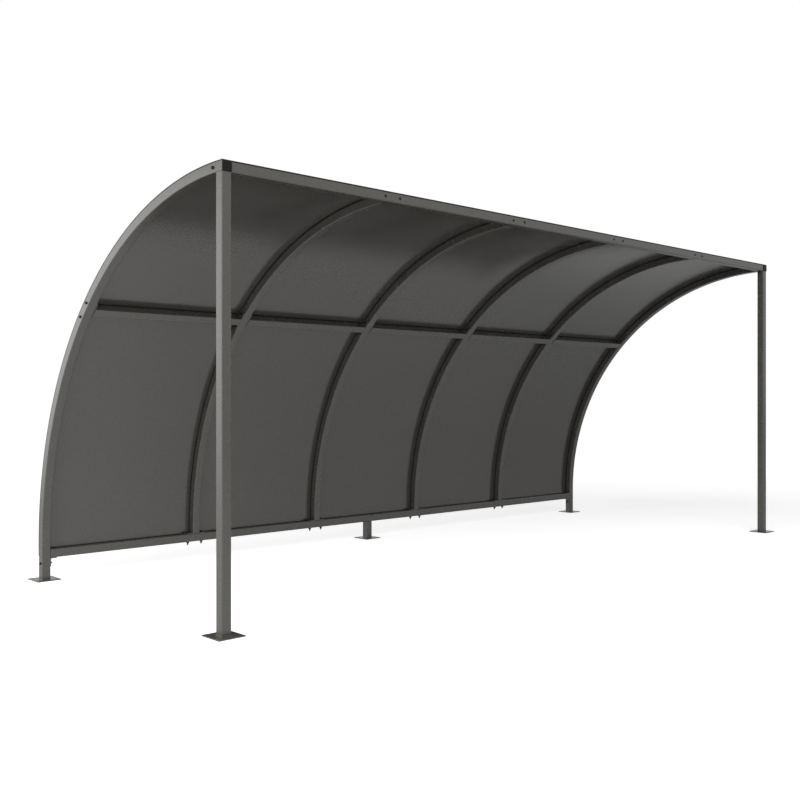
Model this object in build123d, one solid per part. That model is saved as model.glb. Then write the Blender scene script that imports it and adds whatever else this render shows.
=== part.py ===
"""Curved bike shelter: square tube frame with a quarter-round back and roof in one sweep.

X runs along the shelter, -Y is the open front and +Z is up. The origin is on the
ground, below the middle of the shelter, half way between the front and rear feet.
All sizes are in millimetres.
"""
from build123d import *
import os

# Square steel tube of the whole frame
tube = 50.0
tube_wall = 3.0
tube_bevel = 3.0

# Bays between the arched ribs
bay_pitch = 1000.0
bay_count = 5

# Arch: a quarter circle on top of straight rear legs, measured to the tube's centre line
arch_radius = 1878.0
arch_spring = 205.0

# Curved cladding sheets on the outer side of the ribs
sheet_thickness = 2.0
sheet_joint = 4.0
sheet_lap_on_rail = 40.0
sheet_clearance = 0.3

# Bottom rail and purlins
rail_clearance = 127.0
purlin_angle = 45.0

# Base plates with anchor holes
base_plate = 140.0
base_plate_thickness = 6.0
anchor_spacing = 100.0
anchor_hole = 12.0

# Bolted end plates of the ribs and purlins, a little narrower than the tube
end_plate_length = 130.0
end_plate_width = 45.0
end_plate_thickness = 5.0

# Angle brackets that hold the beam and the rail to the end ribs
bracket_leg_on_rib = 50.0
bracket_leg_on_tube = 40.0
bracket_width = 40.0
bracket_thickness = 5.0
bracket_bend = 4.0

# Push-in plastic caps in the front ends of the end ribs
cap_thickness = 4.0
cap_edge = 1.0
cap_plug_depth = 20.0
cap_plug_wall = 2.0
cap_clearance = 0.3

# Places worked out from the sizes above
half_tube = tube / 2
length = bay_count * bay_pitch + tube
end_rib_x = length / 2 - half_tube
front_y = -arch_radius / 2
rear_y = arch_radius / 2
rib_outer_radius = arch_radius + half_tube
rib_inner_radius = arch_radius - half_tube
bore_width = tube - 2 * tube_wall
front_face_y = front_y - half_tube
beam_back_y = front_y + half_tube
crown_z = arch_spring + arch_radius
rail_z = rail_clearance + half_tube
rail_top_z = rail_clearance + tube
clear_length = length - 2 * tube

# A flat tube under the curved sheet is set in by the fall of the arch over half its width
arch_fall = rib_outer_radius - (rib_outer_radius**2 - half_tube**2) ** 0.5
flat_tube_set_in = arch_fall + sheet_clearance
beam_z = crown_z - flat_tube_set_in
purlin_radius = arch_radius - flat_tube_set_in

rib_places = [-end_rib_x + bay * bay_pitch for bay in range(bay_count + 1)]
bay_places = [-end_rib_x + (bay + 0.5) * bay_pitch for bay in range(bay_count)]


def arch_band(inner_radius, outer_radius, foot_z, front_end_y):
    """Return the side view of a band that runs up the rear leg and over to the front."""
    foot_inner = (rear_y + inner_radius - arch_radius, foot_z)
    foot_outer = (rear_y + outer_radius - arch_radius, foot_z)
    spring_inner = (foot_inner[0], arch_spring)
    spring_outer = (foot_outer[0], arch_spring)
    crown_inner = (front_y, arch_spring + inner_radius)
    crown_outer = (front_y, arch_spring + outer_radius)
    front_inner = (front_end_y, crown_inner[1])
    front_outer = (front_end_y, crown_outer[1])
    axis = (front_y, arch_spring)
    outline = [
        Line(foot_inner, foot_outer),
        Line(foot_outer, spring_outer),
        CenterArc(axis, outer_radius, 0, 90),
        Line(crown_outer, front_outer),
        Line(front_outer, front_inner),
        Line(front_inner, crown_inner),
        CenterArc(axis, inner_radius, 0, 90),
        Line(spring_inner, foot_inner),
    ]
    return make_face(outline)


def swept_arch(inner_radius, outer_radius, foot_z, front_end_y, width):
    """Return the band above as a solid of the given width along X, centred on X = 0."""
    side_view = Plane.YZ * arch_band(inner_radius, outer_radius, foot_z, front_end_y)
    return extrude(side_view, amount=width / 2, both=True)


def arched_tube(foot_z, front_end_y):
    """Return a bent square tube with bevelled edges, cut square at its foot and front end."""
    body = swept_arch(rib_inner_radius, rib_outer_radius, 0, front_face_y, tube)
    long_edges = [edge for edge in body.edges() if abs(abs(edge.center().X) - half_tube) < 1e-6]
    end_edges = [edge for edge in long_edges if is_end_edge(edge)]
    body = chamfer([edge for edge in long_edges if edge not in end_edges], tube_bevel)
    bore = swept_arch(
        arch_radius - bore_width / 2,
        arch_radius + bore_width / 2,
        0,
        front_face_y,
        bore_width,
    )
    reach = 2 * (arch_radius + arch_spring + tube)
    kept = Pos(0, front_end_y, foot_z) * Box(
        2 * tube, reach, reach, align=(Align.CENTER, Align.MIN, Align.MIN)
    )
    return (body - bore) & kept


def is_end_edge(edge):
    """Tell whether an edge of the bent tube lies in its foot or in its front end."""
    box = edge.bounding_box()
    in_foot = box.max.Z < 1e-6
    in_front = box.max.Y < front_face_y + 1e-6
    return in_foot or in_front


def tube_outline():
    """Return the outline of the tube's section: a square with bevelled corners."""
    return chamfer(Rectangle(tube, tube).vertices(), tube_bevel)


def straight_tube(tube_length):
    """Return a square tube that stands on its end at Z = 0."""
    section = tube_outline() - Rectangle(bore_width, bore_width)
    return extrude(section, amount=tube_length)


def plate_with_anchor_holes():
    """Return a square base plate that rests on Z = 0, with its four anchor holes."""
    plate = extrude(Rectangle(base_plate, base_plate), amount=base_plate_thickness)
    holes = GridLocations(anchor_spacing, anchor_spacing, 2, 2) * Cylinder(
        anchor_hole / 2, 4 * base_plate_thickness
    )
    return plate - holes


def end_rib():
    """Return the bent tube at an end of the shelter, from its base plate to the front."""
    return arched_tube(base_plate_thickness, front_face_y)


def front_post():
    """Return a front post, coped to the underside of the rib that it carries."""
    stock = Pos(0, front_y, base_plate_thickness) * straight_tube(crown_z - base_plate_thickness)
    rib_envelope = swept_arch(rib_inner_radius, rib_outer_radius, 0, front_face_y, 2 * tube)
    return stock - rib_envelope


def middle_rib():
    """Return a rib between the bays: it stands on the rail and ends behind the beam."""
    foot_z = rail_top_z + end_plate_thickness
    front_end_y = beam_back_y + end_plate_thickness
    bent_tube = arched_tube(foot_z, front_end_y)
    foot_plate = Pos(0, rear_y, rail_top_z + end_plate_thickness / 2) * Box(
        end_plate_length, end_plate_width, end_plate_thickness
    )
    front_plate = Pos(0, beam_back_y + end_plate_thickness / 2, beam_z) * Box(
        end_plate_length, end_plate_thickness, end_plate_width
    )
    return bent_tube + foot_plate + front_plate


def purlin():
    """Return a purlin of one bay with an end plate at each end, set square to the arch."""
    clear_width = bay_pitch - tube
    tube_length = clear_width - 2 * end_plate_thickness
    bar = Pos(-tube_length / 2, 0, 0) * Rot(0, 90, 0) * straight_tube(tube_length)
    plate_x = (clear_width - end_plate_thickness) / 2
    plates = [
        Pos(side * plate_x, 0, 0) * Box(end_plate_thickness, end_plate_width, end_plate_length)
        for side in (-1, 1)
    ]
    arch_axis = Pos(0, front_y, arch_spring)
    return arch_axis * Rot(purlin_angle, 0, 0) * Pos(0, purlin_radius, 0) * (bar + plates)


def angle_bracket():
    """Return an angle with one leg along +X, the other along -Z, and its heel at the origin."""
    outline = Polyline(
        (0, 0),
        (bracket_leg_on_tube, 0),
        (bracket_leg_on_tube, -bracket_thickness),
        (bracket_thickness, -bracket_thickness),
        (bracket_thickness, -bracket_leg_on_rib),
        (0, -bracket_leg_on_rib),
        close=True,
    )
    section = make_face(outline)
    inner_corner = section.vertices().sort_by_distance((bracket_thickness, -bracket_thickness))[0]
    section = fillet(inner_corner, bracket_bend)
    return extrude(Plane.XZ * section, amount=bracket_width / 2, both=True)


def rib_cap():
    """Return a plastic cap: a flange on the tube's end with a hollow plug inside the tube."""
    flange = extrude(tube_outline(), amount=cap_thickness)
    flange = chamfer(flange.faces().sort_by(Axis.Z)[-1].edges(), cap_edge)
    plug_side = bore_width - 2 * cap_clearance
    plug_bore = plug_side - 2 * cap_plug_wall
    plug_section = Rectangle(plug_side, plug_side) - Rectangle(plug_bore, plug_bore)
    return flange + extrude(plug_section, amount=-cap_plug_depth)


def cladding_sheets(left_x, right_x):
    """Return the back sheet and the roof sheet of a bay, which meet over the purlin."""
    foot_z = rail_top_z - sheet_lap_on_rail
    band = swept_arch(
        rib_outer_radius,
        rib_outer_radius + sheet_thickness,
        foot_z,
        front_face_y,
        right_x - left_x,
    )
    band = Pos((left_x + right_x) / 2, 0, 0) * band
    joint_plane = Plane(Pos(0, front_y, arch_spring) * Rot(purlin_angle, 0, 0))
    back_sheet = split(band, joint_plane.offset(-sheet_joint / 2), keep=Keep.BOTTOM)
    roof_sheet = split(band, joint_plane.offset(sheet_joint / 2), keep=Keep.TOP)
    return back_sheet, roof_sheet


pieces = {}
for side_name, side in (("left", -1), ("right", 1)):
    pieces[f"front_post_{side_name}"] = Pos(side * end_rib_x, 0, 0) * front_post()
    pieces[f"front_base_plate_{side_name}"] = (
        Pos(side * end_rib_x, front_y, 0) * plate_with_anchor_holes()
    )
    pieces[f"end_rib_{side_name}"] = Pos(side * end_rib_x, 0, 0) * end_rib()
    pieces[f"rear_base_plate_{side_name}"] = (
        Pos(side * end_rib_x, rear_y, 0) * plate_with_anchor_holes()
    )
    cap_place = Pos(side * end_rib_x, front_face_y, crown_z) * Rot(90, 0, 0)
    pieces[f"rib_cap_{side_name}"] = cap_place * rib_cap()

    # Both angles touch the inner side of the end rib: one under the rail, one behind the beam
    turned = Rot(0, 0, 0 if side < 0 else 180)
    rib_side_x = side * (end_rib_x - half_tube)
    pieces[f"rail_bracket_{side_name}"] = (
        Pos(rib_side_x, rear_y, rail_clearance) * turned * angle_bracket()
    )
    pieces[f"beam_bracket_{side_name}"] = (
        Pos(rib_side_x, beam_back_y, beam_z) * Rot(90, 0, 0) * turned * angle_bracket()
    )

pieces["front_beam"] = (
    Pos(-clear_length / 2, front_y, beam_z) * Rot(0, 90, 0) * straight_tube(clear_length)
)
pieces["bottom_rail"] = (
    Pos(-clear_length / 2, rear_y, rail_z) * Rot(0, 90, 0) * straight_tube(clear_length)
)
pieces["middle_foot"] = Pos(0, rear_y, base_plate_thickness) * straight_tube(
    rail_clearance - base_plate_thickness
)
pieces["rear_base_plate_middle"] = Pos(0, rear_y, 0) * plate_with_anchor_holes()

for number, place_x in enumerate(rib_places[1:-1], start=1):
    pieces[f"rib_{number}"] = Pos(place_x, 0, 0) * middle_rib()

for number, place_x in enumerate(bay_places, start=1):
    pieces[f"purlin_{number}"] = Pos(place_x, 0, 0) * purlin()

for number, left_rib_x in enumerate(rib_places[:-1], start=1):
    is_first = number == 1
    is_last = number == bay_count
    left_x = left_rib_x - half_tube if is_first else left_rib_x + sheet_joint / 2
    right_rib_x = left_rib_x + bay_pitch
    right_x = right_rib_x + half_tube if is_last else right_rib_x - sheet_joint / 2
    back_sheet, roof_sheet = cladding_sheets(left_x, right_x)
    pieces[f"back_sheet_{number}"] = back_sheet
    pieces[f"roof_sheet_{number}"] = roof_sheet

os.makedirs("parts", exist_ok=True)
for name, solid in pieces.items():
    export_step(solid, f"parts/{name}.step")
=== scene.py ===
"""Curved bike shelter, dressed: its tubes, plates, sheets, welds and fasteners with their finishes.

Lengths are in metres, in the frame of the part: X runs along the shelter, -Y is the open
front, +Z is up and the ground is at Z = 0. Sizes of small things are written in
millimetres and turned to metres once.
"""
import logging
import math
from collections.abc import Iterable, Sequence
from dataclasses import dataclass
from enum import Enum
from typing import Any

import bmesh
import bpy
from mathutils import Matrix, Vector


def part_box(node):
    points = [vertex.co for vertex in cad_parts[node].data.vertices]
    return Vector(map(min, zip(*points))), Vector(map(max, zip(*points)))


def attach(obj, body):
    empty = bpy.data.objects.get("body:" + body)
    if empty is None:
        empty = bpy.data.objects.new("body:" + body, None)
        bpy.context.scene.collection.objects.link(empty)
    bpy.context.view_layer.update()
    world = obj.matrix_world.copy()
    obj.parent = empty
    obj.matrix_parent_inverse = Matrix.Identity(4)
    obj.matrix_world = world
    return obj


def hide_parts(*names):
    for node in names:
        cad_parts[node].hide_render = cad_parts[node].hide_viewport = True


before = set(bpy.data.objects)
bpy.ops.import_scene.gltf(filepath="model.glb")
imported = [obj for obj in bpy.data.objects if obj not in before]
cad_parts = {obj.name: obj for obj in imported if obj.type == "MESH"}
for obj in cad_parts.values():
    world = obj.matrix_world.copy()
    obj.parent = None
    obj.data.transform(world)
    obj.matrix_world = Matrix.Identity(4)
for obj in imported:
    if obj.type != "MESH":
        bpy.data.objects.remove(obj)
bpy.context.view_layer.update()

LOG = logging.getLogger("bike_shelter")

MM = 0.001
ROOT = "root"
QUARTER_TURN = math.pi / 2

# Edges that turn more than this are dressed round
EDGE_ANGLE = math.radians(30)

# Smooth shading stops at edges that turn more than this
SHARP_ANGLE = math.radians(35)

# Side of the photograph in pixels
PHOTO_SIDE = 800

Geometry = bmesh.types.BMesh
Faces = list[bmesh.types.BMFace]
Ring = list[bmesh.types.BMEdge]

# A fastener's seat and the direction in which it stands out
Spot = tuple[Vector, Vector]


class Side(Enum):
    """The two ends of the shelter, seen from its open front."""

    LEFT = -1
    RIGHT = 1

    @property
    def label(self) -> str:
        """The side's name as the nodes have it."""
        return self.name.lower()


class Axis(Enum):
    """Directions of the part's frame."""

    X = (1.0, 0.0, 0.0)
    Y = (0.0, 1.0, 0.0)
    Z = (0.0, 0.0, 1.0)

    @property
    def vector(self) -> Vector:
        """The direction as a vector."""
        return Vector(self.value)


def linear_colour(hex_colour: str) -> tuple[float, float, float, float]:
    """Turn an sRGB hex colour to the linear values that shaders use.

    Args:
        hex_colour: a colour such as "#3a3a38".

    Returns:
        Red, green and blue as linear values, and an alpha of 1.
    """
    written = [int(hex_colour[start:start + 2], 16) / 255 for start in (1, 3, 5)]
    red, green, blue = (
        value / 12.92 if value <= 0.04045 else ((value + 0.055) / 1.055) ** 2.4
        for value in written
    )
    return red, green, blue, 1.0


WHITE = linear_colour("#ffffff")


def add_node(
    tree: bpy.types.NodeTree,
    kind: str,
    settings: dict[str, Any] | None = None,
    values: dict[str | int, Any] | None = None,
    links: dict[str | int, bpy.types.NodeSocket] | None = None,
) -> bpy.types.Node:
    """Add a shader node, set it and link it.

    Args:
        tree: the node tree that gets the node.
        kind: Blender's name for the type of node.
        settings: values of the node's own properties.
        values: values of its input sockets.
        links: outputs of other nodes, by the input socket that each goes to.

    Returns:
        The new node.
    """
    node = tree.nodes.new(kind)
    for name, value in (settings or {}).items():
        setattr(node, name, value)
    for socket, value in (values or {}).items():
        node.inputs[socket].default_value = value
    for socket, output in (links or {}).items():
        tree.links.new(output, node.inputs[socket])
    return node


# Noise gathers round 0.5, so only the middle of its range is spread over a whole change
SHADE_RANGE = (0.35, 0.65)
GLOSS_RANGE = (0.3, 0.7)


@dataclass(frozen=True)
class Finish:
    """A surface finish: two close shades, a gloss that varies a little and a fine relief.

    All of them are paint, plastic or rubber, so none shows bare metal.
    """

    name: str
    slot: str
    dark: str
    light: str
    roughness: float
    roughness_spread: float
    specular: float
    mottle_mm: float
    grain_mm: float
    grain_share: float
    grain_depth_mm: float
    wave_mm: float
    wave_depth_mm: float

    def material(self) -> bpy.types.Material:
        """Return the material of this finish, made once and then shared."""
        made = bpy.data.materials.get(self.name)
        return made if made else self._build()

    def _build(self) -> bpy.types.Material:
        """Build the node tree of the finish.

        Returns:
            A material whose patterns follow the object's own coordinates, in metres.
        """
        material = bpy.data.materials.new(self.name)
        material.use_nodes = True
        tree = material.node_tree
        tree.nodes.clear()
        coordinates = add_node(tree, "ShaderNodeTexCoord").outputs["Object"]
        mottle, grain, wave = (
            add_node(
                tree,
                "ShaderNodeTexNoise",
                values={"Scale": 1.0 / (size_mm * MM), "Detail": detail},
                links={"Vector": coordinates},
            ).outputs["Fac"]
            for size_mm, detail in (
                (self.mottle_mm, 3.0),
                (self.grain_mm, 2.0),
                (self.wave_mm, 1.0),
            )
        )
        cloud = add_node(
            tree,
            "ShaderNodeMix",
            {"data_type": "FLOAT"},
            {0: self.grain_share},
            {2: mottle, 3: grain},
        ).outputs[0]
        shade = add_node(
            tree,
            "ShaderNodeMapRange",
            values={"From Min": SHADE_RANGE[0], "From Max": SHADE_RANGE[1]},
            links={"Value": cloud},
        ).outputs[0]
        colour = add_node(
            tree,
            "ShaderNodeMix",
            {"data_type": "RGBA"},
            {6: linear_colour(self.dark), 7: linear_colour(self.light)},
            {0: shade},
        ).outputs[2]
        roughness = add_node(
            tree,
            "ShaderNodeMapRange",
            values={
                "From Min": GLOSS_RANGE[0],
                "From Max": GLOSS_RANGE[1],
                "To Min": self.roughness - self.roughness_spread,
                "To Max": self.roughness + self.roughness_spread,
            },
            links={"Value": mottle},
        ).outputs[0]
        swell = add_node(
            tree,
            "ShaderNodeBump",
            values={"Strength": 1.0, "Distance": self.wave_depth_mm * MM},
            links={"Height": wave},
        ).outputs[0]
        relief = add_node(
            tree,
            "ShaderNodeBump",
            values={"Strength": 1.0, "Distance": self.grain_depth_mm * MM},
            links={"Height": grain, "Normal": swell},
        ).outputs[0]
        shader = add_node(
            tree,
            "ShaderNodeBsdfPrincipled",
            values={"Specular IOR Level": self.specular},
            links={"Base Color": colour, "Roughness": roughness, "Normal": relief},
        ).outputs[0]
        add_node(tree, "ShaderNodeOutputMaterial", links={"Surface": shader})
        return material


# Polyester powder coat, sprayed and baked: a dark satin anthracite that shines softly, with a
# faint speckle. The peel of a real coat is about 1.5 mm across and is drawn 9 mm wide to show.
POWDER_COAT = Finish(
    name="powder_coat_anthracite_satin",
    slot="powder_coated_steel",
    dark="#3e3c37",
    light="#474540",
    roughness=0.27,
    roughness_spread=0.02,
    specular=1.0,
    mottle_mm=180.0,
    grain_mm=9.0,
    grain_share=0.8,
    grain_depth_mm=0.03,
    wave_mm=60.0,
    wave_depth_mm=0.04,
)

# Coil coated steel sheet, rolled flat and then curved: smoother than the frame, so that it
# mirrors the ribs as soft dark bands, with long shallow waves and the same faint speckle.
COATED_SHEET = Finish(
    name="coil_coated_sheet_anthracite",
    slot="coated_sheet_steel",
    dark="#3e3c38",
    light="#464440",
    roughness=0.2,
    roughness_spread=0.01,
    specular=1.0,
    mottle_mm=300.0,
    grain_mm=10.0,
    grain_share=0.85,
    grain_depth_mm=0.02,
    wave_mm=420.0,
    wave_depth_mm=0.06,
)

# Injection moulded polyethylene with a fine eroded texture: plain matt black.
MOULDED_PLASTIC = Finish(
    name="moulded_polyethylene_black",
    slot="black_plastic",
    dark="#121212",
    light="#191918",
    roughness=0.5,
    roughness_spread=0.04,
    specular=0.2,
    mottle_mm=20.0,
    grain_mm=2.0,
    grain_share=0.5,
    grain_depth_mm=0.02,
    wave_mm=30.0,
    wave_depth_mm=0.02,
)

# Zinc flake with a black topcoat, dipped and baked, on bolts, nuts and washers: plain black
# with a small dull highlight.
BLACK_TOPCOAT = Finish(
    name="zinc_flake_black_topcoat",
    slot="powder_coated_steel",
    dark="#0e0e0e",
    light="#171717",
    roughness=0.4,
    roughness_spread=0.04,
    specular=0.3,
    mottle_mm=12.0,
    grain_mm=1.5,
    grain_share=0.5,
    grain_depth_mm=0.01,
    wave_mm=10.0,
    wave_depth_mm=0.01,
)

# One-part polyurethane sealant, tooled into the joints between the sheets: dull black rubber.
# The same black lines the creases where the sheets lie on the frame, as painted crease shade.
SEALANT_AND_CREASE_SHADE = Finish(
    name="black_sealant_and_crease_shade",
    slot="black_plastic",
    dark="#0d0d0d",
    light="#131313",
    roughness=0.65,
    roughness_spread=0.05,
    specular=0.15,
    mottle_mm=25.0,
    grain_mm=3.0,
    grain_share=0.5,
    grain_depth_mm=0.08,
    wave_mm=18.0,
    wave_depth_mm=0.2,
)


@dataclass(frozen=True)
class Shelter:
    """Driving sizes of the shelter, read from the nodes of the frame."""

    tube: float
    front_y: float
    rear_y: float
    spring_z: float
    end_rib_x: float
    plate_top_z: float
    rail_z: float
    beam_z: float
    rib_places: tuple[float, ...]
    bay_places: tuple[float, ...]
    end_plate_length: float
    sheet_thickness: float
    sheet_foot_z: float
    sheet_joint: float
    cap_front_y: float

    @classmethod
    def from_frame(cls) -> "Shelter":
        """Measure the nodes of the frame.

        Returns:
            The sizes that the pieces of the scene share.
        """
        post_low, post_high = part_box("front_post_left")
        foot_low, foot_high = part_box("middle_foot")
        rail_low, rail_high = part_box("bottom_rail")
        beam_low, beam_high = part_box("front_beam")
        roof_low, roof_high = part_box("roof_sheet_2")
        end_rib_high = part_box("end_rib_left")[1]
        names = sorted(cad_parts)
        ribs = [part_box(name) for name in names if name.startswith("rib_") and name[4:].isdigit()]
        purlins = [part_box(name) for name in names if name.startswith("purlin_")]
        tube = post_high.x - post_low.x
        front_y = (post_low.y + post_high.y) / 2
        rear_y = (foot_low.y + foot_high.y) / 2
        end_rib_x = tube / 2 - end_rib_high.x
        rib_xs = [(low.x + high.x) / 2 for low, high in ribs]
        first_rib_low, first_rib_high = ribs[0]
        return cls(
            tube=tube,
            front_y=front_y,
            rear_y=rear_y,
            spring_z=end_rib_high.z - tube / 2 - (rear_y - front_y),
            end_rib_x=end_rib_x,
            plate_top_z=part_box("front_base_plate_left")[1].z,
            rail_z=(rail_low.z + rail_high.z) / 2,
            beam_z=(beam_low.z + beam_high.z) / 2,
            rib_places=(-end_rib_x, *rib_xs, end_rib_x),
            bay_places=tuple((low.x + high.x) / 2 for low, high in purlins),
            end_plate_length=first_rib_high.x - first_rib_low.x,
            sheet_thickness=roof_high.z - end_rib_high.z,
            sheet_foot_z=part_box("back_sheet_2")[0].z,
            sheet_joint=rib_xs[1] - rib_xs[0] - (roof_high.x - roof_low.x),
            cap_front_y=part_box("rib_cap_left")[0].y,
        )

    @property
    def half_tube(self) -> float:
        """Half the side of the tube."""
        return self.tube / 2

    @property
    def inner_end_x(self) -> float:
        """Inner side of the end ribs, between which the rail and the beam run."""
        return self.end_rib_x - self.half_tube

    @property
    def outer_end_x(self) -> float:
        """Outer side of the end ribs."""
        return self.end_rib_x + self.half_tube

    @property
    def half_bay(self) -> float:
        """Half the clear width of a bay, between the sides of its ribs."""
        return (self.rib_places[1] - self.rib_places[0] - self.tube) / 2

    @property
    def radius(self) -> float:
        """Radius of the arch at the tube's centre line."""
        return self.rear_y - self.front_y

    @property
    def crown_z(self) -> float:
        """Height of the ribs' centre line at the crown."""
        return self.spring_z + self.radius

    @property
    def outer_radius(self) -> float:
        """Radius of the ribs' outer side, on which the sheets lie."""
        return self.radius + self.half_tube

    @property
    def skin_radius(self) -> float:
        """Radius of the sheets' weather side."""
        return self.outer_radius + self.sheet_thickness

    @property
    def front_face_y(self) -> float:
        """Front face of the posts and of the beam."""
        return self.front_y - self.half_tube

    @property
    def beam_back_y(self) -> float:
        """Rear face of the beam."""
        return self.front_y + self.half_tube

    @property
    def rail_top_z(self) -> float:
        """Upper face of the bottom rail."""
        return self.rail_z + self.half_tube

    @property
    def rail_bottom_z(self) -> float:
        """Lower face of the bottom rail."""
        return self.rail_z - self.half_tube

    @property
    def purlin_radius(self) -> float:
        """Radius at which the purlins' centre line runs, a little inside the ribs' own."""
        return self.radius - (self.crown_z - self.beam_z)

    @property
    def arch_axis(self) -> Vector:
        """A point on the axis of the arch."""
        return Vector((0.0, self.front_y, self.spring_z))

    def on_arch(self, x: float, radius: float, angle: float) -> Spot:
        """Return a place on the arch and the direction that points outwards there.

        Args:
            x: place along the shelter.
            radius: distance from the axis of the arch.
            angle: angle above the level of the spring, at the back.

        Returns:
            The place and the outward direction.
        """
        outwards = Vector((0.0, math.cos(angle), math.sin(angle)))
        return self.arch_axis + Vector((x, 0.0, 0.0)) + outwards * radius, outwards

    def arch_matrix(self, x: float, radius: float, angle: float) -> Matrix:
        """Return the matrix that sets a shape on the arch, with its +Y pointing outwards.

        Args:
            x: place along the shelter.
            radius: distance of the shape's origin from the axis of the arch.
            angle: angle above the level of the spring, at the back.

        Returns:
            The matrix.
        """
        return (
            Matrix.Translation(self.arch_axis + Vector((x, 0.0, 0.0)))
            @ Matrix.Rotation(angle, 4, "X")
            @ Matrix.Translation((0.0, radius, 0.0))
        )


# Details of the make that the frame's boxes don't give
CORNER_RADIUS = 5.0 * MM
CORNER_STEPS = 4
END_PLATE = 5.0 * MM
END_PLATE_WIDTH = 45.0 * MM
PLATE_EDGE = 0.8 * MM
PLATE_BEAD_REACH = END_PLATE_WIDTH / 2 - 2.0 * MM
ARCH_STEPS = 96
SHEET_STEPS = 48
PURLIN_ANGLE = math.radians(45)
BOLT_OFFSET = 50.0 * MM


def vertices_of(items: Iterable[Any]) -> list[bmesh.types.BMVert]:
    """Return the vertices among the items that an operator made."""
    return [item for item in items if isinstance(item, bmesh.types.BMVert)]


def faces_of(items: Iterable[Any]) -> Faces:
    """Return the faces among the items that an operator made."""
    return [item for item in items if isinstance(item, bmesh.types.BMFace)]


def whole(faces: Faces) -> list[Any]:
    """Gather faces with their edges and vertices, so that sweeping them leaves none inside.

    Args:
        faces: the faces to sweep.

    Returns:
        The faces, their edges and their vertices, each once.
    """
    edges = {edge for face in faces for edge in face.edges}
    corners = {corner for face in faces for corner in face.verts}
    return [*faces, *edges, *corners]


def extrude_faces(shape: Geometry, faces: Faces, step: Sequence[float]) -> Faces:
    """Extrude faces by a step.

    Args:
        shape: the mesh in the making.
        faces: the faces to extrude.
        step: how far they move.

    Returns:
        The faces at the new end.
    """
    made = bmesh.ops.extrude_face_region(shape, geom=whole(faces))["geom"]
    bmesh.ops.translate(shape, vec=step, verts=vertices_of(made))
    return faces_of(made)


def spin_faces(shape: Geometry, faces: Faces, centre: Vector, angle: float, steps: int) -> Faces:
    """Sweep faces round an axis along X.

    Args:
        shape: the mesh in the making.
        faces: the faces to sweep.
        centre: a point on the axis.
        angle: how far they turn, from +Y towards +Z.
        steps: number of flat steps in the curve.

    Returns:
        The faces at the new end.
    """
    swept = bmesh.ops.spin(
        shape,
        geom=whole(faces),
        cent=centre,
        axis=Axis.X.value,
        dvec=(0.0, 0.0, 0.0),
        angle=angle,
        steps=steps,
        use_merge=False,
    )
    return faces_of(swept["geom_last"])


def close_ends(shape: Geometry) -> None:
    """Close each open end of a mesh and point its faces outwards.

    Args:
        shape: the mesh in the making.
    """
    open_edges = [edge for edge in shape.edges if edge.is_boundary]
    if open_edges:
        bmesh.ops.holes_fill(shape, edges=open_edges)
    bmesh.ops.recalc_face_normals(shape, faces=shape.faces)


def round_edges(shape: Geometry, width: float, steps: int = 2) -> None:
    """Round each edge of a mesh that turns more than the edge angle.

    Args:
        shape: the mesh in the making.
        width: how far the rounding reaches from the edge.
        steps: number of flat steps in it.
    """
    sharp = [edge for edge in shape.edges if edge.calc_face_angle(0.0) > EDGE_ANGLE]
    bmesh.ops.bevel(
        shape,
        geom=sharp,
        offset=width,
        segments=steps,
        profile=0.5,
        affect="EDGES",
        material=-1,
    )


def rectangle(shape: Geometry, width: float, depth: float) -> Faces:
    """Lay the cross-section of a sheet on the XY plane, centred on the origin.

    Args:
        shape: an empty mesh.
        width: its length along X.
        depth: its length along Y.

    Returns:
        The one face of the cross-section.
    """
    corners = bmesh.ops.create_grid(shape, x_segments=1, y_segments=1, size=0.5)["verts"]
    bmesh.ops.scale(shape, vec=(width, depth, 1.0), verts=corners)
    return list(shape.faces)


def rounded_square(shape: Geometry, side: float) -> Faces:
    """Lay the outline of a square tube on the XY plane, centred on the origin.

    Args:
        shape: an empty mesh.
        side: side of the square.

    Returns:
        The one face of the outline.
    """
    corners = bmesh.ops.create_grid(shape, x_segments=1, y_segments=1, size=side / 2)["verts"]
    bmesh.ops.bevel(
        shape,
        geom=corners,
        offset=CORNER_RADIUS,
        segments=CORNER_STEPS,
        profile=0.5,
        affect="VERTICES",
        material=-1,
    )
    return list(shape.faces)


def stretch(shape: Geometry, outline: Faces, start: Vector, end: Vector) -> Geometry:
    """Draw an outline on the XY plane out to a closed bar between two points.

    Args:
        shape: a mesh with nothing but the outline, centred on the origin.
        outline: the faces of the outline.
        start: centre of one end of the bar.
        end: centre of its other end.

    Returns:
        The mesh, in place.
    """
    run = end - start
    extrude_faces(shape, outline, (0.0, 0.0, run.length))
    turn = Axis.Z.vector.rotation_difference(run).to_matrix().to_4x4()
    bmesh.ops.transform(shape, matrix=Matrix.Translation(start) @ turn, verts=shape.verts)
    close_ends(shape)
    return shape


def straight_tube(side: float, start: Vector, end: Vector) -> Geometry:
    """Return a closed square tube from one point to another, its flats along the axes."""
    shape = bmesh.new()
    return stretch(shape, rounded_square(shape, side), start, end)


def plate(size: Sequence[float], centre: Sequence[float]) -> Geometry:
    """Return a flat plate with its edges dressed round.

    Args:
        size: its length along X, Y and Z.
        centre: its middle.

    Returns:
        The plate.
    """
    shape = bmesh.new()
    bmesh.ops.create_cube(shape, size=1.0)
    bmesh.ops.scale(shape, vec=size, verts=shape.verts)
    bmesh.ops.translate(shape, vec=centre, verts=shape.verts)
    round_edges(shape, PLATE_EDGE)
    return shape


def merge(target: Geometry, *others: Geometry) -> Geometry:
    """Move other meshes into a target.

    Args:
        target: the mesh that takes them in.
        others: the meshes to move. They are used up.

    Returns:
        The target.
    """
    for other in others:
        carrier = bpy.data.meshes.new("carrier")
        other.to_mesh(carrier)
        other.free()
        target.from_mesh(carrier)
        bpy.data.meshes.remove(carrier)
    return target


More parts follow.
